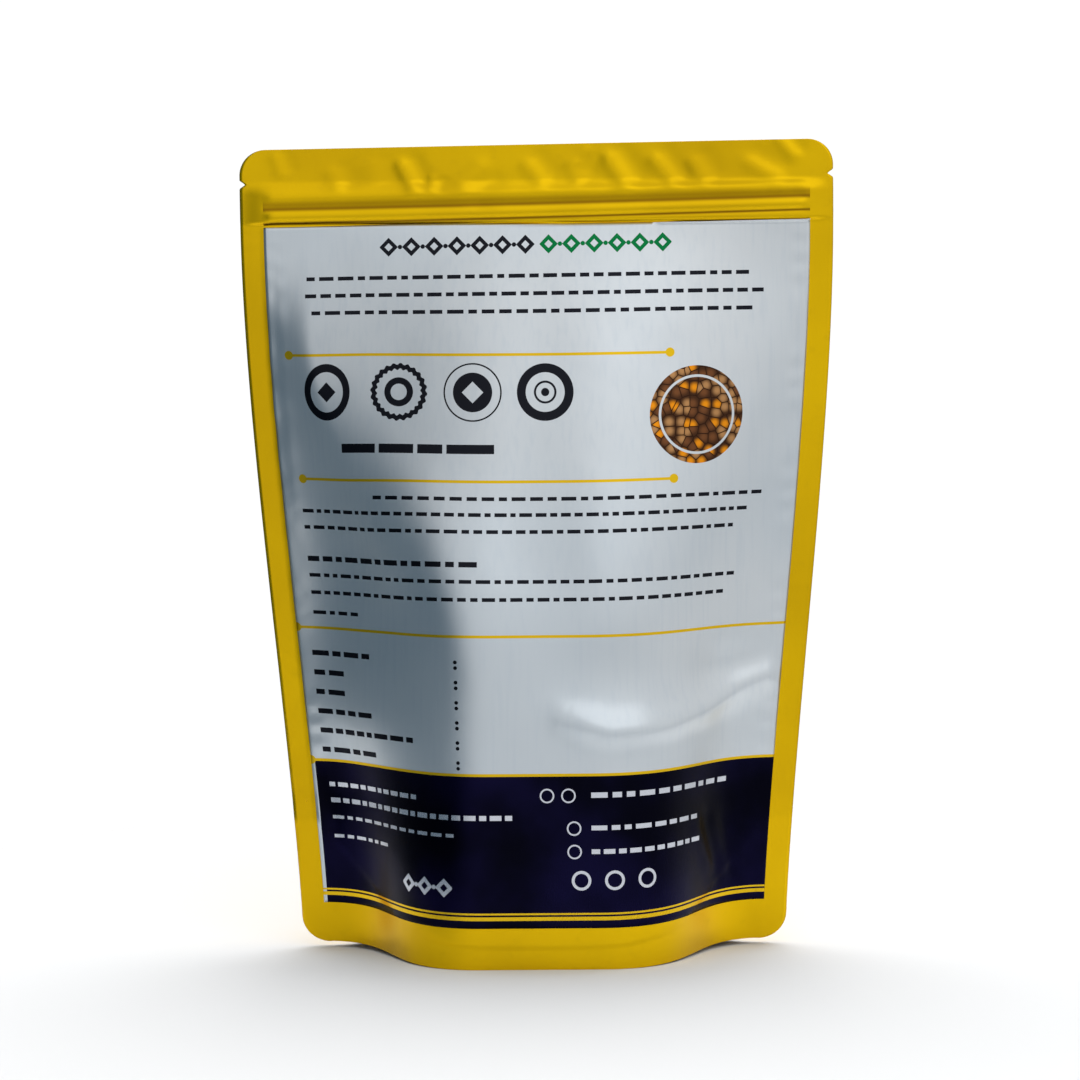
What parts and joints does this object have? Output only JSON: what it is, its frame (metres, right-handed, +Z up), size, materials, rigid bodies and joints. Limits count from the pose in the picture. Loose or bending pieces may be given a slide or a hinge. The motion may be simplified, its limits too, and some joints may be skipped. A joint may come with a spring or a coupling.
{
  "type": "stand-up pouch",
  "caption": "Filled stand-up zip pouch of yellow film for a ground spice, with side seals, tear notches, a gusset floor and a silver front label.",
  "frame": {"origin": "on the surface that the pouch stands on, at the middle of its floor", "axes": "+Z up to the top seal, -Y out of the labelled front, +X to the right seen from the front"},
  "size_m": [0.19, 0.0786, 0.26],
  "materials": {
    "yellow_film": "satin metallised film",
    "silver_label": "satin silver film label",
    "zip_plastic": "natural polyethylene",
    "ground_spice": "fine dry powder"
  },
  "bodies": {
    "root": {"front_panel": "yellow_film", "back_panel": "yellow_film", "bottom_gusset": "yellow_film", "front_label": "silver_label", "zip_groove_strip": "zip_plastic", "zip_rib_strip": "zip_plastic", "spice_fill": "ground_spice"}
  },
  "joints": []
}
